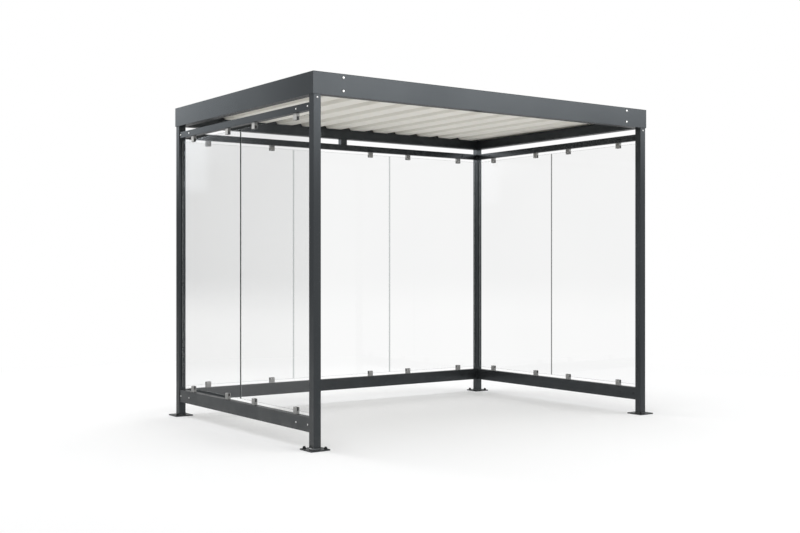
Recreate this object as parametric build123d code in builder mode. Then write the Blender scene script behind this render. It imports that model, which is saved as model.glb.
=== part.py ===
from build123d import *
import os

os.makedirs("parts", exist_ok=True)

# Bike shelter: four steel posts, glazed on three sides, under a level roof of ribbed sheet.
# Millimetres, +Z up from the ground, +X along the open front, +Y towards the glazed rear.

# Glass panes
pane_width = 881.0
pane_height = 1735.0
pane_thickness = 8.0
pane_edge_chamfer = 1.0
pane_joint = 8.0
pane_end_gap = 7.0

# Posts and the plates under them
post_size = 50.0
post_wall = 3.0
plate_size = 130.0
plate_thickness = 8.0
plate_corner_radius = 4.0
anchor_hole_diameter = 14.0
anchor_edge_distance = 20.0

# Rails and the strut over the rear one
rail_thickness = 40.0
rail_wall = 2.0
bottom_rail_clearance = 100.0
bottom_rail_height = 86.0
top_rail_height = 43.0
strut_width = 55.0
roof_gap = 43.0

# Glass clamps and their rubber liners
clamp_width = 38.0
clamp_height = 41.0
clamp_base = 20.0
clamp_jaw = 5.5
clamp_inset = 180.0
liner_thickness = 1.5
jaw_tip_share = 0.35
jaw_edge_share = 0.2

# Roof beams and fascia
beam_width = 58.0
beam_height = 72.0
beam_wall = 3.0
fascia_thickness = 2.0
fascia_bend_radius = 1.5
fascia_overhang = 5.0
fascia_upstand = 24.0
fascia_lip = 30.0
lip_hem_share = 0.6

# Ribbed roof sheet
sheet_thickness = 0.75
sheet_clearance = 5.0
rib_pitch = 217.5
rib_height = 35.0
rib_base = 100.0
rib_crown = 44.0
rib_shift = 15.0

# Corner radii of the hollow sections, as shares of their wall
outer_corner_share = 0.4
inner_corner_share = 0.15

# Names of the panes along each wall and of the roof sheets, from left to right seen from outside
left_panes = ("rear", "front")
right_panes = ("front", "rear")
rear_panes = ("right", "middle", "left")
roof_sheets = ("left", "middle", "right")

# Heights, from the ground up
bottom_rail_top = bottom_rail_clearance + bottom_rail_height
pane_bottom = bottom_rail_top + clamp_base + liner_thickness
pane_top = pane_bottom + pane_height
top_rail_bottom = pane_top + liner_thickness + clamp_base
top_rail_top = top_rail_bottom + top_rail_height
frame_bottom = top_rail_top + roof_gap
sheet_level = frame_bottom + beam_height
fascia_height = beam_height + rib_height + fascia_upstand


# Clear length between two posts that a row of panes fills
def clear_span(panes):
    return len(panes) * pane_width + (len(panes) - 1) * pane_joint + 2 * pane_end_gap


# Places in plan: post centres, then the outer and inner faces of the roof frame
side_span = clear_span(left_panes)
rear_span = clear_span(rear_panes)
half_width = (rear_span + post_size) / 2
half_depth = (side_span + post_size) / 2
roof_half_width = half_width + post_size / 2 + fascia_overhang
roof_half_depth = half_depth + post_size / 2 + fascia_overhang
beam_half_width = roof_half_width - fascia_thickness
beam_half_depth = roof_half_depth - fascia_thickness
sheet_half_width = beam_half_width - sheet_clearance
sheet_half_depth = beam_half_depth - sheet_clearance

# Each side of the shelter as a plane seen from outside: x along it, y up, z outwards
front_side = Plane(origin=(0, -half_depth, 0), x_dir=(1, 0, 0), z_dir=(0, -1, 0))
right_side = Plane(origin=(half_width, 0, 0), x_dir=(0, 1, 0), z_dir=(1, 0, 0))
rear_side = Plane(origin=(0, half_depth, 0), x_dir=(-1, 0, 0), z_dir=(0, 1, 0))
left_side = Plane(origin=(-half_width, 0, 0), x_dir=(0, -1, 0), z_dir=(-1, 0, 0))

walls = {
    "left": (left_side, left_panes, side_span),
    "right": (right_side, right_panes, side_span),
    "rear": (rear_side, rear_panes, rear_span),
}


# A plane square to a side, with its x outwards and its y up, or down for what hangs
def section(side, along, height, outwards=0, hanging=False):
    origin = side.from_local_coords(Vector(along, height, outwards))
    run = side.x_dir if hanging else -side.x_dir
    return Plane(origin=origin, x_dir=side.z_dir, z_dir=run)


# Centres of the panes along their wall
def pane_centres(panes):
    step = pane_width + pane_joint
    return [(index - (len(panes) - 1) / 2) * step for index in range(len(panes))]


# Centres of the clamps along their wall, two to each pane
def clamp_centres(panes):
    reach = pane_width / 2 - clamp_inset
    return [centre + side * reach for centre in pane_centres(panes) for side in (-1, 1)]


def save(piece, label):
    piece.part.label = label
    export_step(piece.part, f"parts/{label}.step")


# A hollow section, half its length to each side of its plane
def hollow_bar(label, plane, width, height, wall, length):
    with BuildPart() as bar:
        with BuildSketch(plane):
            RectangleRounded(width, height, outer_corner_share * wall)
            RectangleRounded(
                width - 2 * wall, height - 2 * wall, inner_corner_share * wall, mode=Mode.SUBTRACT
            )
        extrude(amount=length / 2, both=True)
    save(bar, label)


# A square plate under a post, with two anchor holes on one diagonal
def base_plate(label, x, y, diagonal):
    reach = plate_size / 2 - anchor_edge_distance
    with BuildPart() as plate:
        with BuildSketch(Plane(origin=(x, y, 0))):
            RectangleRounded(plate_size, plate_size, plate_corner_radius)
            with Locations((-reach, -diagonal * reach), (reach, diagonal * reach)):
                Circle(anchor_hole_diameter / 2, mode=Mode.SUBTRACT)
        extrude(amount=plate_thickness)
    save(plate, label)


# One pane of toughened glass with its edges broken
def glass_pane(label, side, centre):
    with BuildPart() as pane:
        with BuildSketch(side):
            with Locations((centre, pane_bottom + pane_height / 2)):
                Rectangle(pane_width, pane_height)
        extrude(amount=pane_thickness / 2, both=True)
        faces = pane.faces().filter_by(Axis((0, 0, 0), side.z_dir))
        chamfer(faces.edges(), length=pane_edge_chamfer)
    save(pane, label)


# A row of clamps, each a fork that grips the glass edge between two jaws
def clamp_row(label, side, planes):
    slot = pane_thickness + 2 * liner_thickness
    with BuildPart() as row:
        with BuildSketch(*planes) as fork:
            Rectangle(slot + 2 * clamp_jaw, clamp_height, align=(Align.CENTER, Align.MIN))
            with Locations((0, clamp_base)):
                Rectangle(slot, clamp_height, align=(Align.CENTER, Align.MIN), mode=Mode.SUBTRACT)
            tips = fork.vertices().group_by(Axis.Y)[-1].sort_by(Axis.X)
            chamfer([tips[0], tips[-1]], length=jaw_tip_share * clamp_jaw)
        extrude(amount=clamp_width / 2, both=True)
        upright = row.edges().filter_by(Axis.Z).group_by(Axis(side.origin, side.z_dir))
        chamfer(upright[0] + upright[-1], length=jaw_edge_share * clamp_jaw)
    save(row, label)


# The rubber channels that line the clamps of one wall
def clamp_liners(label, planes):
    slot = pane_thickness + 2 * liner_thickness
    depth = clamp_height - clamp_base
    with BuildPart() as liners:
        with BuildSketch(*planes):
            with Locations((0, clamp_base)):
                Rectangle(slot, depth, align=(Align.CENTER, Align.MIN))
            with Locations((0, clamp_base + liner_thickness)):
                Rectangle(pane_thickness, depth, align=(Align.CENTER, Align.MIN), mode=Mode.SUBTRACT)
        extrude(amount=clamp_width / 2, both=True)
    save(liners, label)


# A folded fascia with a turned-in top lip, mitred at both ends
def fascia(label, side, half_length, outwards):
    edge = section(side, 0, frame_bottom, outwards)
    hem = lip_hem_share * fascia_upstand
    with BuildPart() as board:
        with BuildSketch(edge):
            with BuildLine():
                FilletPolyline(
                    (0, 0),
                    (0, fascia_height),
                    (-fascia_lip, fascia_height),
                    (-fascia_lip, fascia_height - hem),
                    radius=fascia_bend_radius + fascia_thickness,
                )
                offset(amount=fascia_thickness, side=Side.LEFT)
            make_face()
        extrude(amount=half_length, both=True)
        for end in (-1, 1):
            corner = side.from_local_coords(Vector(end * half_length, 0, outwards))
            mitre = Plane(origin=corner, z_dir=end * side.x_dir - side.z_dir)
            split(bisect_by=mitre, keep=Keep.BOTTOM)
    save(board, label)


# Middle of a rib, counted from the one beside the middle of the roof
def rib_middle(rib):
    return rib_shift + rib * rib_pitch


# Underside of the roof sheet over one rib, rising from the flat to the crown and back
def rib_rise(rib):
    return [(rib_middle(rib) - rib_base / 2, 0), (rib_middle(rib) - rib_crown / 2, rib_height)]


def rib_fall(rib, lift=0):
    crown_edge = (rib_middle(rib) + rib_crown / 2, rib_height + lift)
    return [crown_edge, (rib_middle(rib) + rib_base / 2, 0)]


# One roof sheet from its first rib to its last: its left edge laps over the crown of the sheet
# before it, and its right edge stops on the crown that the next sheet covers
def roof_sheet(label, first, last, is_first, is_last):
    if is_first:
        underside = [(-sheet_half_width, 0)] + rib_rise(first) + rib_fall(first)
    else:
        lap_start = (rib_middle(first) - rib_crown / 2, rib_height + sheet_thickness)
        underside = [lap_start] + rib_fall(first, sheet_thickness)
    for rib in range(first + 1, last):
        underside += rib_rise(rib) + rib_fall(rib)
    if is_last:
        underside += rib_rise(last) + rib_fall(last) + [(sheet_half_width, 0)]
    else:
        underside += rib_rise(last) + rib_fall(last)[:1]
    with BuildPart() as sheet:
        with BuildSketch(Plane(origin=(0, 0, sheet_level), x_dir=(1, 0, 0), z_dir=(0, -1, 0))):
            with BuildLine():
                Polyline(*underside)
                offset(amount=sheet_thickness, side=Side.LEFT, kind=Kind.INTERSECTION)
            make_face()
        extrude(amount=sheet_half_depth, both=True)
    save(sheet, label)


# Posts on their base plates; the anchor diagonals mirror each other from corner to corner
corners = {
    "front_left": (-1, -1),
    "front_right": (1, -1),
    "rear_left": (-1, 1),
    "rear_right": (1, 1),
}
post_length = frame_bottom - plate_thickness
for name, (east, north) in corners.items():
    x = east * half_width
    y = north * half_depth
    middle = Plane(origin=(x, y, plate_thickness + post_length / 2))
    hollow_bar(f"{name}_post", middle, post_size, post_size, post_wall, post_length)
    base_plate(f"{name}_base_plate", x, y, -east * north)

# Rails, panes and clamps of the three glazed walls
for name, (side, panes, span) in walls.items():
    low = section(side, 0, bottom_rail_top - bottom_rail_height / 2)
    high = section(side, 0, top_rail_bottom + top_rail_height / 2)
    hollow_bar(f"{name}_bottom_rail", low, rail_thickness, bottom_rail_height, rail_wall, span)
    hollow_bar(f"{name}_top_rail", high, rail_thickness, top_rail_height, rail_wall, span)
    for pane, centre in zip(panes, pane_centres(panes)):
        glass_pane(f"{name}_wall_{pane}_pane", side, centre)
    standing = [section(side, along, bottom_rail_top) for along in clamp_centres(panes)]
    hanging = [section(side, along, top_rail_bottom, hanging=True) for along in clamp_centres(panes)]
    clamp_row(f"{name}_bottom_clamps", side, standing)
    clamp_row(f"{name}_top_clamps", side, hanging)
    clamp_liners(f"{name}_clamp_liners", standing + hanging)

# Strut from the middle of the rear top rail up to the roof frame
strut_plane = Plane(origin=(0, half_depth, top_rail_top + roof_gap / 2))
hollow_bar("rear_rail_strut", strut_plane, strut_width, rail_thickness, rail_wall, roof_gap)

# Roof beams: the front and rear ones run through, the side ones fit between them
beam_middle = frame_bottom + beam_height / 2
long_beam_offset = beam_half_depth - beam_width / 2 - half_depth
side_beam_offset = beam_half_width - beam_width / 2 - half_width
side_beam_length = 2 * (beam_half_depth - beam_width)
for name, side in {"front": front_side, "rear": rear_side}.items():
    plane = section(side, 0, beam_middle, long_beam_offset)
    hollow_bar(f"{name}_roof_beam", plane, beam_width, beam_height, beam_wall, 2 * beam_half_width)
    fascia(f"{name}_fascia", side, roof_half_width, roof_half_depth - half_depth)
for name, side in {"left": left_side, "right": right_side}.items():
    plane = section(side, 0, beam_middle, side_beam_offset)
    hollow_bar(f"{name}_roof_beam", plane, beam_width, beam_height, beam_wall, side_beam_length)
    fascia(f"{name}_fascia", side, roof_half_depth, roof_half_width - half_width)

# Roof sheets, lapped on the crowns of the ribs that they share
outer_rib = int((sheet_half_width - rib_base / 2 - abs(rib_shift)) // rib_pitch)
lap_ribs = [round(outer_rib * (2 * lap / len(roof_sheets) - 1)) for lap in range(len(roof_sheets) + 1)]
for index, name in enumerate(roof_sheets):
    is_last = index == len(roof_sheets) - 1
    roof_sheet(f"{name}_roof_sheet", lap_ribs[index], lap_ribs[index + 1], index == 0, is_last)
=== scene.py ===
from math import pi, radians

import bmesh
import bpy
from mathutils import Matrix, Vector


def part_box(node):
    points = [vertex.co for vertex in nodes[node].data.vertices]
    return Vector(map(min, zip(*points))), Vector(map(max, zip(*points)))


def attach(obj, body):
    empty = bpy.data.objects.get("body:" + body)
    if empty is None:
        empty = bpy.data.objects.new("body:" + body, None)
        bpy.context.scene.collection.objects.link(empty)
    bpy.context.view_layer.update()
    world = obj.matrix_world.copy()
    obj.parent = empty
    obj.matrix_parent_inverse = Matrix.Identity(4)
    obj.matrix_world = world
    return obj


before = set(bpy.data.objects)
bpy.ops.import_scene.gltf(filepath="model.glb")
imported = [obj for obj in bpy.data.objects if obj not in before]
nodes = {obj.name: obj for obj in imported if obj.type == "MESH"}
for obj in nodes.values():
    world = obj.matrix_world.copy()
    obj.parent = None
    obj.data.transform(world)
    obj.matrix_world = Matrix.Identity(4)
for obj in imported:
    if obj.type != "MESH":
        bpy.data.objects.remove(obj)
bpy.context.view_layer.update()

print("frame loaded:", len(nodes), "nodes")

corners = ("front_left", "front_right", "rear_left", "rear_right")
wallFaces = {"left": (0, -1), "right": (0, 1), "rear": (1, 1)}  # axis of each wall and its way out
wallPanes = {"left": ("front", "rear"), "right": ("front", "rear"), "rear": ("left", "middle", "right")}
upright = Matrix.Identity(4)  # for pieces that stand with their top up
hexagon = 6
boltSides = 24
washerSides = 20


# Modelling helpers

def pick(kind, test):  # select the edges or faces that pass the test
    bpy.ops.mesh.select_mode(type=kind)
    bpy.ops.mesh.select_all(action="DESELECT")
    mesh = bmesh.from_edit_mesh(bpy.context.object.data)
    for item in mesh.edges if kind == "EDGE" else mesh.faces:
        if test(item):
            item.select_set(True)
    bmesh.update_edit_mesh(bpy.context.object.data)


def near(value, target, tolerance=1e-5):
    return abs(value - target) < tolerance


def openEdge(edge):
    return len(edge.link_faces) < 2


def atLevel(level):  # test for faces that lie at one height
    return lambda face: near(face.calc_center_median().z, level)


def addRound(sides, radius, height, level):  # a disc that stands on a level
    bpy.ops.mesh.primitive_cylinder_add(
        vertices=sides, radius=radius, depth=height, location=(0, 0, level + height / 2))


def startRound(name, sides, radius, height, level=0.0):  # the first disc of a shape, left in edit mode
    bpy.ops.object.select_all(action="DESELECT")
    addRound(sides, radius, height, level)
    bpy.ops.object.transform_apply(location=True)
    bpy.context.object.name = name
    bpy.ops.object.mode_set(mode="EDIT")


def roundRim(level, radius, offset, segments=2):  # bevel the ring of edges at one height and radius
    def onRim(edge):
        return all(near(v.co.z, level) and near(v.co.xy.length, radius) for v in edge.verts)

    pick("EDGE", onRim)
    bpy.ops.mesh.bevel(offset=offset, segments=segments)


def endShape(smoothAngle=35):  # close the edit, normals outwards
    bpy.ops.mesh.select_all(action="SELECT")
    bpy.ops.mesh.normals_make_consistent(inside=False)
    bpy.ops.object.mode_set(mode="OBJECT")
    bpy.ops.object.shade_smooth_by_angle(angle=radians(smoothAngle))
    return bpy.context.object


def facing(axis, way):  # turn that points a piece's top along X or Y
    if axis == 0:
        return Matrix.Rotation(radians(90 * way), 4, "Y")
    return Matrix.Rotation(radians(-90 * way), 4, "X")


def finishPiece(piece, name, finish):
    piece.name = piece.data.name = name
    piece.data.materials.clear()
    piece.data.materials.append(finish)
    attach(piece, "root")


def setOut(master, name, places, finish):  # copies of a master, joined into one piece
    copies = []
    for point, turn in places:
        one = master.copy()
        one.data = master.data.copy()
        one.data.transform(Matrix.Translation(point) @ turn)
        bpy.context.collection.objects.link(one)
        copies.append(one)
    bpy.ops.object.select_all(action="DESELECT")
    for one in copies:
        one.select_set(True)
    bpy.context.view_layer.objects.active = copies[0]
    bpy.ops.object.join()
    finishPiece(bpy.context.object, name, finish)


# Shader helpers

noiseRange = (0.3, 0.7)  # where most of a noise lies
noiseDetail = {"cloud": 4.0, "speckle": 2.0, "patches": 6.0, "lines": 3.0, "streaks": 4.0}


def addNode(tree, kind, settings=None, inputs=None):
    made = tree.nodes.new(kind)
    for key, value in (settings or {}).items():
        setattr(made, key, value)
    for key, value in (inputs or {}).items():
        if isinstance(value, bpy.types.NodeSocket):
            tree.links.new(value, made.inputs[key])
        else:
            made.inputs[key].default_value = value
    return made


def blendColours(tree, share, first, second):  # sockets 6 and 7 of a mix node are its colours
    made = addNode(tree, "ShaderNodeMix", {"data_type": "RGBA"}, {0: share, 6: first, 7: second})
    return made.outputs[2]


def blendShaders(tree, share, first, second):
    return addNode(tree, "ShaderNodeMixShader", None, {0: share, 1: first, 2: second}).outputs[0]


def combine(tree, operation, first, second, clamp=False):
    settings = {"operation": operation, "use_clamp": clamp}
    return addNode(tree, "ShaderNodeMath", settings, {0: first, 1: second}).outputs[0]


def multiply(tree, product, *others):
    for value in others:
        product = combine(tree, "MULTIPLY", product, value)
    return product


def spread(tree, value, low, high, toLow, toHigh):  # one range of a value to another
    made = addNode(tree, "ShaderNodeMapRange", None, {
        "Value": value, "From Min": low, "From Max": high, "To Min": toLow, "To Max": toHigh})
    return made.outputs["Result"]


def spreadNoise(tree, noise, toLow, toHigh):
    return spread(tree, noise, *noiseRange, toLow, toHigh)


def ease(tree, value, low, high):  # rises gently from 0 to 1
    made = addNode(tree, "ShaderNodeMapRange", {"interpolation_type": "SMOOTHSTEP"}, {
        "Value": value, "From Min": low, "From Max": high})
    return made.outputs["Result"]


def objectPlace(tree):
    return addNode(tree, "ShaderNodeTexCoord").outputs["Object"]


def stretchPlace(tree, scales):  # the place with a scale of its own for each axis
    made = addNode(tree, "ShaderNodeVectorMath", {"operation": "MULTIPLY"}, {0: objectPlace(tree), 1: scales})
    return made.outputs[0]


def splitUp(tree, vector):
    return addNode(tree, "ShaderNodeSeparateXYZ", None, {"Vector": vector}).outputs


def addNoise(tree, place, scale, detail):
    made = addNode(tree, "ShaderNodeTexNoise", None, {"Vector": place, "Scale": scale, "Detail": detail})
    return made.outputs["Fac"]


def newGroup(name, inputs, outputs):
    group = bpy.data.node_groups.new(name, "ShaderNodeTree")
    for way, labels in (("INPUT", inputs), ("OUTPUT", outputs)):
        for label in labels:
            group.interface.new_socket(label, in_out=way, socket_type="NodeSocketFloat")
    given = group.nodes.new("NodeGroupInput").outputs
    result = group.nodes.new("NodeGroupOutput").inputs
    return group, given, result


def useGroup(tree, group, inputs):
    return addNode(tree, "ShaderNodeGroup", {"node_tree": group}, inputs).outputs


def newFinish(name):
    finish = bpy.data.materials.new(name)
    finish.use_nodes = True
    finish.node_tree.nodes.clear()
    return finish, finish.node_tree


def closeFinish(tree, shader):
    addNode(tree, "ShaderNodeOutputMaterial", None, {"Surface": shader})


# Broad cloudiness and fine speckle of a sprayed or rolled coat

def makeGrainGroup():
    group, given, result = newGroup("coatGrain", ("Cloud Scale", "Speckle Scale"), ("Cloud", "Speckle"))
    place = objectPlace(group)
    cloud = addNoise(group, place, given["Cloud Scale"], noiseDetail["cloud"])
    speckle = addNoise(group, place, given["Speckle Scale"], noiseDetail["speckle"])
    group.links.new(cloud, result["Cloud"])
    group.links.new(speckle, result["Speckle"])
    return group


# Dust on what faces up and near the ground, laid on heavily enough to be painted light as well: up-facing and
# low faces painted lighter, and the low outside of the left wall painted lighter

dustAndPaintedLight = {
    "patchScale": 9.0, "patches": (0.35, 0.70), "thinnest": 0.25, "slope": (0.40, 0.95), "lowLightFall": 2.0,
    "facingOut": (-0.8, -0.2), "leftLightHeight": 0.95, "leftLightThinnest": 0.75,
}


def makeDustAndLightGroup(values):
    group, given, result = newGroup("dustAndPaintedLight", ("Top", "Low Dust And Light", "Low Light Height", "Left Painted Light"), ("Mask",))
    place = objectPlace(group)
    spot = splitUp(group, place)
    turned = splitUp(group, addNode(group, "ShaderNodeNewGeometry").outputs["Normal"])
    patches = addNoise(group, place, values["patchScale"], noiseDetail["patches"])
    patches = spread(group, patches, *values["patches"], values["thinnest"], 1.0)
    top = multiply(group, spread(group, turned["Z"], *values["slope"], 0.0, 1.0), given["Top"])
    low = spread(group, combine(group, "DIVIDE", spot["Z"], given["Low Light Height"]), 0.0, 1.0, 1.0, 0.0)
    lowDustAndLight = multiply(group, combine(group, "POWER", low, values["lowLightFall"]), given["Low Dust And Light"])
    dustAndLightMask = multiply(group, combine(group, "ADD", top, lowDustAndLight), patches)

    # Painted light on the outside of the left wall, lighter towards the ground
    onWall = combine(group, "LESS_THAN", spot["X"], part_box("front_left_post")[1].x)
    outside = spread(group, turned["X"], *values["facingOut"], 1.0, 0.0)
    fall = spread(group, spot["Z"], 0.0, values["leftLightHeight"], 1.0, 0.0)
    uneven = spread(group, patches, values["thinnest"], 1.0, values["leftLightThinnest"], 1.0)
    leftPaintedLight = multiply(group, onWall, outside, fall, uneven, given["Left Painted Light"])
    group.links.new(combine(group, "ADD", dustAndLightMask, leftPaintedLight, clamp=True), result["Mask"])
    return group


# Fine lines left by brushing or turning metal

def makeBrushGroup():
    group, given, result = newGroup("brushLines", ("Across", "Along"), ("Lines",))
    scales = addNode(group, "ShaderNodeCombineXYZ", None, {
        0: given["Across"], 1: given["Across"], 2: given["Along"]})
    lines = addNoise(group, stretchPlace(group, scales.outputs[0]), 1.0, noiseDetail["lines"])
    group.links.new(lines, result["Lines"])
    return group


grainGroup = makeGrainGroup()
dustAndLightGroup = makeDustAndLightGroup(dustAndPaintedLight)
brushGroup = makeBrushGroup()


# Colour, roughness and fine bump that every coat starts from

bumpDistance = 0.0003


def layCoat(tree, values):
    grain = useGroup(tree, grainGroup, {
        "Cloud Scale": values["cloudScale"], "Speckle Scale": values["speckleScale"]})
    colour = blendColours(tree, spreadNoise(tree, grain["Cloud"], 0.0, 1.0), values["dark"], values["light"])
    rough = spreadNoise(tree, grain["Speckle"], *values["rough"])
    bump = addNode(tree, "ShaderNodeBump", None, {
        "Strength": values["bump"], "Distance": bumpDistance, "Height": grain["Speckle"]})
    return colour, rough, bump.outputs["Normal"]


# Anthracite powder coat of the steel frame, with fine metal flake in it

frameCoat = {
    "dark": (0.0450, 0.0492, 0.0525, 1), "light": (0.0540, 0.0585, 0.0620, 1),
    "cloudScale": 1.6, "speckleScale": 650.0, "rough": (0.20, 0.26), "bump": 0.06,
    "flake": 0.6, "rim": (0.5, 0.5, 0.5, 1), "specular": 0.0,
    # the dust colour also paints light onto up-facing faces, low faces and the outside of the left wall
    "dustAndPaintedTone": (0.165, 0.168, 0.168, 1), "topDustAndLight": 0.55, "lowDustAndLight": 0.20, "lowLightHeight": 0.40, "leftPaintedLight": 0.55,
}


def makeFrameCoat(values):
    finish, tree = newFinish("anthraciteCoat")
    colour, rough, normal = layCoat(tree, values)
    # dust and painted light: up-facing faces, low faces and the left wall's outside are painted lighter
    dustAndPaintedTone = useGroup(tree, dustAndLightGroup, {
        "Top": values["topDustAndLight"], "Low Dust And Light": values["lowDustAndLight"],
        "Low Light Height": values["lowLightHeight"], "Left Painted Light": values["leftPaintedLight"]})
    colour = blendColours(tree, dustAndPaintedTone["Mask"], colour, values["dustAndPaintedTone"])
    shader = addNode(tree, "ShaderNodeBsdfPrincipled", None, {
        "Base Color": colour, "Metallic": values["flake"], "Roughness": rough,
        "Specular IOR Level": values["specular"], "Specular Tint": values["rim"], "Normal": normal})
    closeFinish(tree, shader.outputs[0])
    return finish


# Off-white coil coat of the ribbed roof sheets

sheetCoat = {
    "dark": (0.825, 0.800, 0.728, 1), "light": (0.870, 0.845, 0.772, 1),
    "cloudScale": 1.1, "speckleScale": 420.0, "rough": (0.42, 0.55), "bump": 0.05, "specular": 0.35,
    # painted shade in the rib hollows under the sheet
    "paintedHollowShade": (0.62, 0.597, 0.535, 1), "hollowShadeRise": (0.001, 0.006), "hollowShadeAmount": 0.45,
    # dust on the top side, heavier in the pans than on the crowns, which paints shade into the pans
    "dustAndPaintedTone": (0.40, 0.385, 0.34, 1), "panDustAndShade": 0.62, "crownDustAndLight": 0.40, "ribHeight": 0.035,
    "streaks": (14.0, 0.9, 14.0), "streakDust": (0.7, 1.1),
}


def makeSheetCoat(values):
    finish, tree = newFinish("offWhiteSheetCoat")
    colour, rough, normal = layCoat(tree, values)
    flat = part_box("middle_roof_sheet")[0].z
    height = splitUp(tree, objectPlace(tree))["Z"]
    upward = splitUp(tree, addNode(tree, "ShaderNodeNewGeometry").outputs["Normal"])["Z"]

    # Painted shade in the hollows of the ribs, seen from below
    shadeFrom, shadeTo = values["hollowShadeRise"]
    hollowShade = spread(tree, height, flat + shadeFrom, flat + shadeTo, 0.0, values["hollowShadeAmount"])
    under = combine(tree, "LESS_THAN", upward, 0.0)
    colour = blendColours(tree, multiply(tree, hollowShade, under), colour, values["paintedHollowShade"])

    # Dust on the top side, drawn out along the ribs, and painted shade: the pans are painted darker than the
    # crowns
    streaks = addNoise(tree, stretchPlace(tree, values["streaks"]), 1.0, noiseDetail["streaks"])
    dustAndRibShade = spread(tree, height, flat, flat + values["ribHeight"], values["panDustAndShade"], values["crownDustAndLight"])
    dustAndRibShade = multiply(tree, dustAndRibShade, spreadNoise(tree, streaks, *values["streakDust"]))
    upper = combine(tree, "GREATER_THAN", upward, 0.0)
    colour = blendColours(tree, multiply(tree, dustAndRibShade, upper), colour, values["dustAndPaintedTone"])
    shader = addNode(tree, "ShaderNodeBsdfPrincipled", None, {
        "Base Color": colour, "Roughness": rough, "Specular IOR Level": values["specular"], "Normal": normal})
    closeFinish(tree, shader.outputs[0])
    return finish


# Toughened clear glass: the broad faces let light through, the ground edges hold it back

clearGlass = {
    "body": (0.998, 0.999, 0.998, 1), "film": (0.972, 0.974, 0.976, 1), "filmPatches": (0.42, 0.72),
    "filmAmount": 0.20, "cloudScale": 1.3, "speckleScale": 90.0, "index": 1.5, "polish": 0.03,
    "shine": (0.07, 0.075, 0.08, 1), "shineNearGround": (0.40, 0.40, 0.40, 1), "groundShine": (0.62, 1.02),
    "mirror": 1.95, "mirrorNearGround": 1.35, "glance": (0.15, 0.34), "glanceShine": (0.82, 0.83, 0.83, 1),
    # one kind of ground edge, painted dark as shaded on the side panes and pale as lit on the rear panes
    "sideEdgeShaded": (0.004, 0.007, 0.007, 1), "rearEdgeLit": (0.30, 0.36, 0.35, 1),
    "edgeRough": (0.35, 0.55), "edgeSpecular": 0.2, "frost": (0.55, 0.58, 0.57, 1), "frostAmount": 0.25,
    "broadFace": 0.9,  # how squarely a broad face looks out of its wall
}


def makeGlass(name, axis, values, edgeColour):
    finish, tree = newFinish(name)
    surface = addNode(tree, "ShaderNodeNewGeometry").outputs
    squareness = combine(tree, "ABSOLUTE", splitUp(tree, surface["Normal"])[axis], 0.0)
    broad = combine(tree, "GREATER_THAN", squareness, values["broadFace"])
    grain = useGroup(tree, grainGroup, {
        "Cloud Scale": values["cloudScale"], "Speckle Scale": values["speckleScale"]})
    film = spread(tree, grain["Cloud"], *values["filmPatches"], 0.0, values["filmAmount"])
    tint = blendColours(tree, film, values["body"], values["film"])
    through = addNode(tree, "ShaderNodeBsdfTransparent", None, {"Color": tint}).outputs[0]

    # What a pane mirrors is dim, less so near the ground and least at a glancing view
    raised = ease(tree, splitUp(tree, objectPlace(tree))["Z"], *values["groundShine"])
    bend = addNode(tree, "ShaderNodeFresnel", None, {"IOR": values["index"]}).outputs[0]
    glance = spread(tree, bend, *values["glance"], 0.0, 1.0)
    mirrored = blendColours(tree, raised, values["shineNearGround"], values["shine"])
    mirrored = blendColours(tree, glance, mirrored, values["glanceShine"])
    shine = addNode(tree, "ShaderNodeBsdfGlossy", None, {"Color": mirrored, "Roughness": values["polish"]})
    strength = spread(tree, raised, 0.0, 1.0, values["mirrorNearGround"], values["mirror"])
    outside = combine(tree, "SUBTRACT", 1.0, surface["Backfacing"])  # one mirror face a pane
    mirror = combine(tree, "MULTIPLY", multiply(tree, bend, strength), outside, clamp=True)
    sheet = blendShaders(tree, mirror, through, shine.outputs[0])

    # Ground edges, paler where they are seen through the pane
    edge = addNode(tree, "ShaderNodeBsdfPrincipled", None, {
        "Base Color": edgeColour, "Roughness": spreadNoise(tree, grain["Speckle"], *values["edgeRough"]),
        "Specular IOR Level": values["edgeSpecular"]})
    frost = addNode(tree, "ShaderNodeBsdfDiffuse", None, {"Color": values["frost"]})
    faint = blendShaders(tree, values["frostAmount"], through, frost.outputs[0])
    rim = blendShaders(tree, surface["Backfacing"], edge.outputs[0], faint)
    closeFinish(tree, blendShaders(tree, broad, rim, sheet))
    return finish


# Metals of clamps and fasteners

metals = {
    "brushedSteel": {"dark": (0.22, 0.22, 0.215, 1), "light": (0.32, 0.32, 0.315, 1), "rough": (0.60, 0.45)},
    "brightZinc": {"dark": (0.52, 0.52, 0.515, 1), "light": (0.66, 0.66, 0.655, 1), "rough": (0.30, 0.18)},
}
metalBrush = {"Across": 2600.0, "Along": 60.0}


def makeMetal(name):
    values = metals[name]
    finish, tree = newFinish(name)
    lines = useGroup(tree, brushGroup, metalBrush)["Lines"]
    colour = blendColours(tree, spreadNoise(tree, lines, 0.0, 1.0), values["dark"], values["light"])
    rough = spreadNoise(tree, lines, *values["rough"])
    shader = addNode(tree, "ShaderNodeBsdfPrincipled", None, {
        "Base Color": colour, "Metallic": 1.0, "Roughness": rough})
    closeFinish(tree, shader.outputs[0])
    return finish


# Black rubber of liners and washers, grey foam of the rib fillers, blackened steel of anchors and bolt ends

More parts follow.
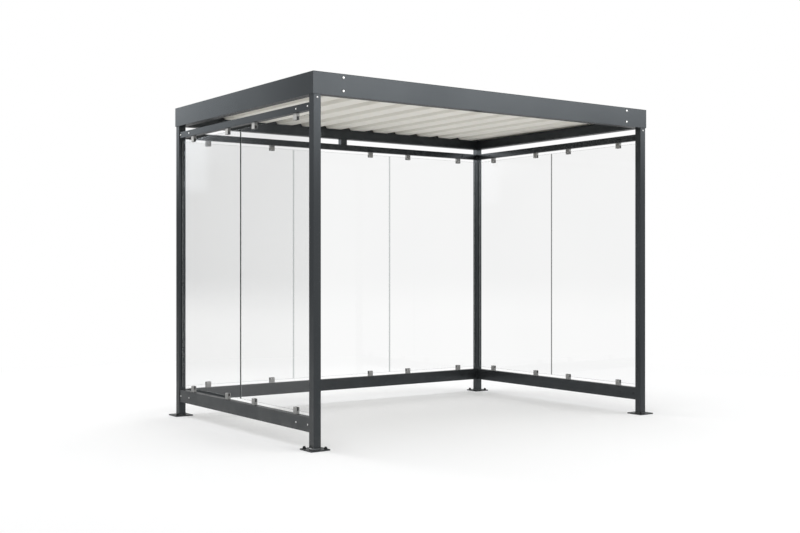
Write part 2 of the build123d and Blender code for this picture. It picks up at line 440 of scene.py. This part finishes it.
darkFinishes = {
    "blackRubber": {
        "dark": (0.010, 0.010, 0.011, 1), "light": (0.018, 0.018, 0.019, 1),
        "rough": (0.55, 0.75), "specular": 0.3, "bump": 0.2},
    "greyFoam": {
        "dark": (0.028, 0.028, 0.029, 1), "light": (0.045, 0.045, 0.046, 1),
        "rough": (0.80, 0.95), "specular": 0.1, "bump": 0.4},
    "blackenedSteel": {
        "dark": (0.005, 0.005, 0.006, 1), "light": (0.012, 0.012, 0.013, 1),
        "rough": (0.40, 0.58), "specular": 0.2, "bump": 0.1},
}
darkGrain = {"cloudScale": 40.0, "speckleScale": 900.0}


def makeDarkFinish(name):
    values = darkFinishes[name]
    finish, tree = newFinish(name)
    colour, rough, normal = layCoat(tree, values | darkGrain)
    shader = addNode(tree, "ShaderNodeBsdfPrincipled", None, {
        "Base Color": colour, "Roughness": rough, "Specular IOR Level": values["specular"], "Normal": normal})
    closeFinish(tree, shader.outputs[0])
    return finish


anthracite = makeFrameCoat(frameCoat)
offWhite = makeSheetCoat(sheetCoat)
# the same glass twice, with edges painted shaded on the side walls and lit on the rear wall
sideGlass = makeGlass("sideWallGlass", 0, clearGlass, clearGlass["sideEdgeShaded"])
rearGlass = makeGlass("rearWallGlass", 1, clearGlass, clearGlass["rearEdgeLit"])
brushedSteel = makeMetal("brushedSteel")
brightZinc = makeMetal("brightZinc")
blackRubber = makeDarkFinish("blackRubber")
greyFoam = makeDarkFinish("greyFoam")
blackSteel = makeDarkFinish("blackenedSteel")


def finishFor(name):
    if name.endswith("_pane"):
        return rearGlass if name.startswith("rear") else sideGlass
    if name.endswith("_clamps"):
        return brushedSteel
    if name.endswith("_liners"):
        return blackRubber
    if name.endswith("_sheet"):
        return offWhite
    return anthracite


for name, node in nodes.items():
    node.data.materials.clear()
    node.data.materials.append(finishFor(name))
print("finishes set on", len(nodes), "nodes")


# Dome-head bolts: a round head with a rounded rim and a hexagon socket

fasciaBolt = {"radius": 0.0085, "height": 0.0048, "round": 0.0034, "socket": 0.0031, "depth": 0.0027}
frameBolt = {"radius": 0.0058, "height": 0.0034, "round": 0.0024, "socket": 0.0021, "depth": 0.0019}
clampScrew = {"radius": 0.0045, "height": 0.0016, "round": 0.0010, "socket": 0.0019, "depth": 0.0012}
boltEnd = {"radius": 0.0058, "height": 0.0030, "round": 0.0012, "socket": 0.0026, "depth": 0.0016}
domeSegments = 4


def makeDomeBolt(name, sizes):
    top = sizes["height"]
    startRound(name, boltSides, sizes["radius"], top)
    roundRim(top, sizes["radius"], sizes["round"], domeSegments)
    pick("FACE", atLevel(top))
    bpy.ops.mesh.delete(type="FACE")
    bpy.ops.mesh.primitive_circle_add(vertices=hexagon, radius=sizes["socket"], location=(0, 0, top))
    pick("EDGE", openEdge)
    bpy.ops.mesh.bridge_edge_loops()
    pick("EDGE", openEdge)
    bpy.ops.mesh.extrude_edges_move(TRANSFORM_OT_translate={"value": (0, 0, -sizes["depth"])})
    bpy.ops.mesh.edge_face_add()
    return endShape()


fasciaBolts = {"inFromEnd": 0.2045, "downFromTop": (0.023, 0.101)}
postBolts = {"downFromTop": 0.019}
railBolts = {"fromPost": (0.0215, 0.155)}

fasciaMaster = makeDomeBolt("fasciaMaster", fasciaBolt)
boltMaster = makeDomeBolt("boltMaster", frameBolt)
endMaster = makeDomeBolt("endMaster", boltEnd)

for name, way in (("front", -1), ("rear", 1)):
    low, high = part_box(f"{name}_fascia")
    face = high.y if way > 0 else low.y
    places = []
    for x in (low.x + fasciaBolts["inFromEnd"], high.x - fasciaBolts["inFromEnd"]):
        for down in fasciaBolts["downFromTop"]:
            places.append((Vector((x, face, high.z - down)), facing(1, way)))
    setOut(fasciaMaster, f"{name}_fascia_bolts", places, brightZinc)

places = []
for name in corners:
    low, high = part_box(f"{name}_post")
    way = -1 if name.startswith("front") else 1
    face = high.y if way > 0 else low.y
    places.append((Vector(((low.x + high.x) / 2, face, high.z - postBolts["downFromTop"])), facing(1, way)))
setOut(boltMaster, "post_bolts", places, brightZinc)

for wall, (axis, way) in wallFaces.items():
    along = 1 - axis
    heads, ends = [], []
    for rail in ("bottom", "top"):
        low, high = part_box(f"{wall}_{rail}_rail")
        outer, inner = (high[axis], low[axis]) if way > 0 else (low[axis], high[axis])
        for distance in railBolts["fromPost"]:
            for run in (low[along] + distance, high[along] - distance):
                point = Vector((0, 0, (low.z + high.z) / 2))
                point[along] = run
                point[axis] = outer
                heads.append((point.copy(), facing(axis, way)))
                point[axis] = inner
                ends.append((point.copy(), facing(axis, -way)))
    setOut(boltMaster, f"{wall}_rail_bolts", heads, brightZinc)
    setOut(endMaster, f"{wall}_rail_bolt_ends", ends, blackSteel)
print("frame bolts set out")


# Socket screws on the inner jaw of each clamp

clampScrews = {"inFromPaneEnd": 0.180, "upFromPaneEdge": 0.0095, "apart": 0.018}
screwMaster = makeDomeBolt("screwMaster", clampScrew)

for wall, (axis, way) in wallFaces.items():
    along = 1 - axis
    places = []
    for pane in wallPanes[wall]:
        low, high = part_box(f"{wall}_wall_{pane}_pane")
        centres = (low[along] + clampScrews["inFromPaneEnd"], high[along] - clampScrews["inFromPaneEnd"])
        for level, row in ((low.z + clampScrews["upFromPaneEdge"], "bottom"),
                           (high.z - clampScrews["upFromPaneEdge"], "top")):
            jawLow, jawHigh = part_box(f"{wall}_{row}_clamps")
            for centre in centres:
                for side in (-0.5, 0.5):
                    point = Vector((0, 0, level))
                    point[along] = centre + side * clampScrews["apart"]
                    point[axis] = jawLow[axis] if way > 0 else jawHigh[axis]
                    places.append((point, facing(axis, -way)))
    setOut(screwMaster, f"{wall}_clamp_screws", places, brightZinc)
print("clamp screws set out")


# Ground anchors: washer and a domed cap nut

anchor = {
    "washerRadius": 0.0115, "washerHeight": 0.0025, "nutRadius": 0.0098, "nutHeight": 0.0050,
    "domeRadius": 0.0084, "domeSides": 16, "bevel": 0.0010, "holeInset": 0.020,
    "dome": ((0.0022, 0.96), (0.0018, 0.87), (0.0012, 0.74), (0.0006, 0.55)),  # rise and taper of each ring
}


def makeAnchor(name, sizes):
    washerTop = sizes["washerHeight"]
    nutTop = washerTop + sizes["nutHeight"]
    startRound(name, boltSides, sizes["washerRadius"], washerTop)
    roundRim(washerTop, sizes["washerRadius"], sizes["bevel"] / 2)
    addRound(hexagon, sizes["nutRadius"], sizes["nutHeight"], washerTop)
    roundRim(nutTop, sizes["nutRadius"], sizes["bevel"])
    addRound(sizes["domeSides"], sizes["domeRadius"], sizes["bevel"], nutTop)
    pick("FACE", atLevel(nutTop + sizes["bevel"]))
    for rise, taper in sizes["dome"]:
        bpy.ops.mesh.extrude_region_move(TRANSFORM_OT_translate={"value": (0, 0, rise)})
        bpy.ops.transform.resize(value=(taper, taper, 1))
    return endShape()


anchorMaster = makeAnchor("anchorMaster", anchor)
for name in corners:
    low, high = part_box(f"{name}_base_plate")
    diagonal = 1 if name in ("front_right", "rear_left") else -1
    reach = (high.x - low.x) / 2 - anchor["holeInset"]
    middle = (low + high) / 2
    places = []
    for way in (-1, 1):
        point = Vector((middle.x + way * reach, middle.y + way * diagonal * reach, high.z))
        places.append((point, upright))
    setOut(anchorMaster, f"{name}_anchors", places, blackSteel)
print("anchors set out")


# Weld bead round the foot of each post

weld = {"leg": 0.0045, "corner": 0.0012, "cornerSegments": 4, "smoothAngle": 60}


def makeWeld(name, post, plate, sizes):
    low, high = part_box(post)
    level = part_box(plate)[1].z
    middle = (low + high) / 2
    width = high.x - low.x
    innerReach = (width + sizes["leg"]) / 2
    bpy.ops.object.select_all(action="DESELECT")
    bpy.ops.mesh.primitive_plane_add(size=width + 2 * sizes["leg"], location=(middle.x, middle.y, level))
    bpy.ops.object.transform_apply(location=True)
    bpy.ops.object.mode_set(mode="EDIT")
    bpy.ops.mesh.select_all(action="SELECT")
    bpy.ops.mesh.bevel(
        affect="VERTICES", offset=sizes["leg"] + sizes["corner"], segments=sizes["cornerSegments"])
    pick("FACE", lambda face: True)
    bpy.ops.mesh.inset(thickness=sizes["leg"])
    bpy.ops.mesh.delete(type="FACE")

    def innerEdge(edge):
        reaches = [max(abs(v.co.x - middle.x), abs(v.co.y - middle.y)) for v in edge.verts]
        return openEdge(edge) and max(reaches) < innerReach

    pick("EDGE", innerEdge)
    bpy.ops.mesh.extrude_edges_move(TRANSFORM_OT_translate={"value": (0, 0, sizes["leg"])})
    pick("EDGE", openEdge)
    bpy.ops.mesh.bridge_edge_loops()
    finishPiece(endShape(sizes["smoothAngle"]), name, anthracite)


for name in corners:
    makeWeld(f"{name}_weld", f"{name}_post", f"{name}_base_plate", weld)
print("welds laid")


# Roof screws with sealing washers, on the flats over the two long beams and along the laps

roofRibs = {"pitch": 0.2175, "shift": 0.015, "eachSide": 6, "flats": 12, "laps": (-2, 2), "sheet": 0.00075}
roofScrew = {
    "washerRadius": 0.0080, "washerHeight": 0.0025, "flangeRadius": 0.0070, "flangeHeight": 0.0012,
    "headRadius": 0.0046, "headHeight": 0.0045, "bevel": 0.0007, "smoothAngle": 30, "eachLap": 5,
}


def ribAt(index):  # place of a rib across the roof, or of a flat at half steps
    return roofRibs["shift"] + index * roofRibs["pitch"]


def makeWasher(name, sizes):
    startRound(name, washerSides, sizes["washerRadius"], sizes["washerHeight"])
    roundRim(sizes["washerHeight"], sizes["washerRadius"], sizes["bevel"])
    return endShape()


def makeRoofScrew(name, sizes):
    base = sizes["washerHeight"]
    flangeTop = base + sizes["flangeHeight"]
    startRound(name, washerSides, sizes["flangeRadius"], sizes["flangeHeight"], base)
    roundRim(flangeTop, sizes["flangeRadius"], sizes["bevel"])
    addRound(hexagon, sizes["headRadius"], sizes["headHeight"], flangeTop)
    roundRim(flangeTop + sizes["headHeight"], sizes["headRadius"], sizes["bevel"])
    return endShape(sizes["smoothAngle"])


sheetLow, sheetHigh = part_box("middle_roof_sheet")
flatTop = sheetLow.z + roofRibs["sheet"]
places = []
for beam in ("front_roof_beam", "rear_roof_beam"):
    low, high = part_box(beam)
    for index in range(roofRibs["flats"]):
        x = ribAt(index - (roofRibs["flats"] - 1) / 2)
        places.append((Vector((x, (low.y + high.y) / 2, flatTop)), upright))
for rib in roofRibs["laps"]:
    for index in range(roofScrew["eachLap"]):
        y = sheetLow.y + (index + 0.5) * (sheetHigh.y - sheetLow.y) / roofScrew["eachLap"]
        places.append((Vector((ribAt(rib), y, sheetHigh.z)), upright))
washerMaster = makeWasher("washerMaster", roofScrew)
roofMaster = makeRoofScrew("roofMaster", roofScrew)
setOut(washerMaster, "roof_screw_washers", places, blackRubber)
setOut(roofMaster, "roof_screws", places, brightZinc)
print("roof screws set out")


# Foam fillers that close the ribs over the two long beams

ribFiller = {
    "base": 0.099, "crown": 0.043, "height": 0.0345, "length": 0.036, "inset": 0.015, "smoothAngle": 30,
}


def makeFiller(name, sizes):
    bpy.ops.object.select_all(action="DESELECT")
    bpy.ops.mesh.primitive_cube_add(
        size=1, location=(0, 0, sizes["height"] / 2), scale=(sizes["base"], sizes["length"], sizes["height"]))
    bpy.ops.object.transform_apply(location=True, scale=True)
    bpy.context.object.name = name
    bpy.ops.object.mode_set(mode="EDIT")
    pick("FACE", atLevel(sizes["height"]))
    bpy.ops.transform.resize(value=(sizes["crown"] / sizes["base"], 1, 1))
    return endShape(sizes["smoothAngle"])


fillerMaster = makeFiller("fillerMaster", ribFiller)
for beam, way in (("front_roof_beam", 1), ("rear_roof_beam", -1)):
    low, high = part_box(beam)
    inner = high.y if way > 0 else low.y
    y = inner - way * (ribFiller["inset"] + ribFiller["length"] / 2)
    places = []
    for rib in range(-roofRibs["eachSide"], roofRibs["eachSide"] + 1):
        places.append((Vector((ribAt(rib), y, high.z)), upright))
    setOut(fillerMaster, beam.replace("roof_beam", "rib_fillers"), places, greyFoam)
print("rib fillers set out")

masters = (
    fasciaMaster, boltMaster, endMaster, screwMaster, anchorMaster, washerMaster, roofMaster, fillerMaster)
for master in masters:
    bpy.data.objects.remove(master)


# Floor: pale and plain, takes the shadow near the shelter and runs out to white

floor = {"size": 90.0, "colour": (0.88, 0.88, 0.88, 1), "lift": 0.118, "fade": (2.6, 5.2)}


def seenRays(tree):  # rays that show the background: direct, mirrored and through glass
    rays = addNode(tree, "ShaderNodeLightPath").outputs
    seen = combine(tree, "MAXIMUM", rays["Is Camera Ray"], rays["Is Glossy Ray"])
    return combine(tree, "MAXIMUM", seen, rays["Is Transmission Ray"])


def makeFloor(values):
    bpy.ops.object.select_all(action="DESELECT")
    bpy.ops.mesh.primitive_plane_add(size=values["size"])
    ground = bpy.context.object
    ground.name = "studioFloor"
    finish, tree = newFinish("paleFloor")
    seen = seenRays(tree)
    distance = addNode(tree, "ShaderNodeVectorMath", {"operation": "LENGTH"}, {0: objectPlace(tree)})
    far = ease(tree, distance.outputs["Value"], *values["fade"])
    matt = addNode(tree, "ShaderNodeBsdfDiffuse", None, {"Color": values["colour"]})
    lift = addNode(tree, "ShaderNodeEmission", None, {"Strength": multiply(tree, seen, values["lift"])})
    close = addNode(tree, "ShaderNodeAddShader", None, {0: matt.outputs[0], 1: lift.outputs[0]})
    white = addNode(tree, "ShaderNodeEmission", None, {"Strength": 1.0})
    closeFinish(tree, blendShaders(tree, multiply(tree, seen, far), close.outputs[0], white.outputs[0]))
    ground.data.materials.append(finish)


makeFloor(floor)


# Studio: white surround, a broad soft light overhead, two softboxes and a small panel

surround = {"colour": (0.99, 0.995, 1.0, 1), "strength": 0.70}
softboxes = {
    "overhead": {"at": (-0.3, 0.3, 6.0), "aim": (-0.3, 0.3, 0.0), "size": (6.0, 6.0), "level": 1.27},
    "frontRight": {"at": (6.0, -8.0, 4.13), "aim": (0.6, -0.9, 2.15), "size": (8.6, 2.1), "level": 4.85},
    "rearLeft": {
        "at": (-4.10, 8.0, 3.90), "aim": (-1.4, 0.9, 2.2), "size": (3.5, 3.2), "level": 7.0,
        "sideFade": (-5.76, -4.86), "footFade": (2.40, 3.20)},
    "lowPanel": {  # shows as the pale patch in the side walls
        "at": (-4.72, 8.0, 2.5), "aim": (-4.72, 0.0, 2.5), "size": (0.68, 0.9), "level": 4.2,
        "sideFade": (-5.06, -4.90), "footFade": (2.05, 2.20)},
}


def makeSurround(values):
    world = bpy.data.worlds.new("studio")
    world.use_nodes = True
    bpy.context.scene.world = world
    tree = world.node_tree
    tree.nodes.clear()
    dim = addNode(tree, "ShaderNodeBackground", None, {
        "Color": values["colour"], "Strength": values["strength"]})
    white = addNode(tree, "ShaderNodeBackground", None, {"Color": (1, 1, 1, 1), "Strength": 1.0})
    both = blendShaders(tree, seenRays(tree), dim.outputs[0], white.outputs[0])
    addNode(tree, "ShaderNodeOutputWorld", None, {"Surface": both})


def fadeSoftbox(lamp, values):  # the cloth dims towards one side and its foot
    lamp.use_nodes = True
    tree = lamp.node_tree
    tree.nodes.clear()
    spot = splitUp(tree, addNode(tree, "ShaderNodeNewGeometry").outputs["Position"])
    side = spread(tree, spot["X"], *values["sideFade"], 0.0, 1.0)
    foot = spread(tree, spot["Z"], *values["footFade"], 0.0, 1.0)
    glow = addNode(tree, "ShaderNodeEmission", None, {"Strength": multiply(tree, side, foot)})
    addNode(tree, "ShaderNodeOutputLight", None, {"Surface": glow.outputs[0]})


def addSoftbox(name, values):
    lamp = bpy.data.lights.new(name, "AREA")
    lamp.shape = "RECTANGLE"
    lamp.size, lamp.size_y = values["size"]
    lamp.energy = values["level"] * pi * lamp.size * lamp.size_y  # level is what the box's face shows
    if "footFade" in values:
        fadeSoftbox(lamp, values)
    box = bpy.data.objects.new(name, lamp)
    bpy.context.collection.objects.link(box)
    box.location = values["at"]
    aim = Vector(values["aim"]) - box.location
    box.rotation_euler = aim.to_track_quat("-Z", "Y").to_euler()
    box.visible_camera = False


makeSurround(surround)
for name, values in softboxes.items():
    addSoftbox(name, values)


# Camera at the photograph's place, level

camera = {"at": (-4.683, -6.409, 1.061), "turn": -35.542, "lens": 50.0, "sensor": 36.0, "shift": -0.0007}
eye = bpy.data.cameras.new("camera")
eye.lens = camera["lens"]
eye.sensor_width = camera["sensor"]
eye.shift_y = camera["shift"]
stand = bpy.data.objects.new("camera", eye)
bpy.context.collection.objects.link(stand)
stand.location = camera["at"]
stand.rotation_euler = (radians(90), 0, radians(camera["turn"]))
bpy.context.scene.camera = stand
bpy.context.scene.view_settings.view_transform = "Standard"
print("studio and camera ready")
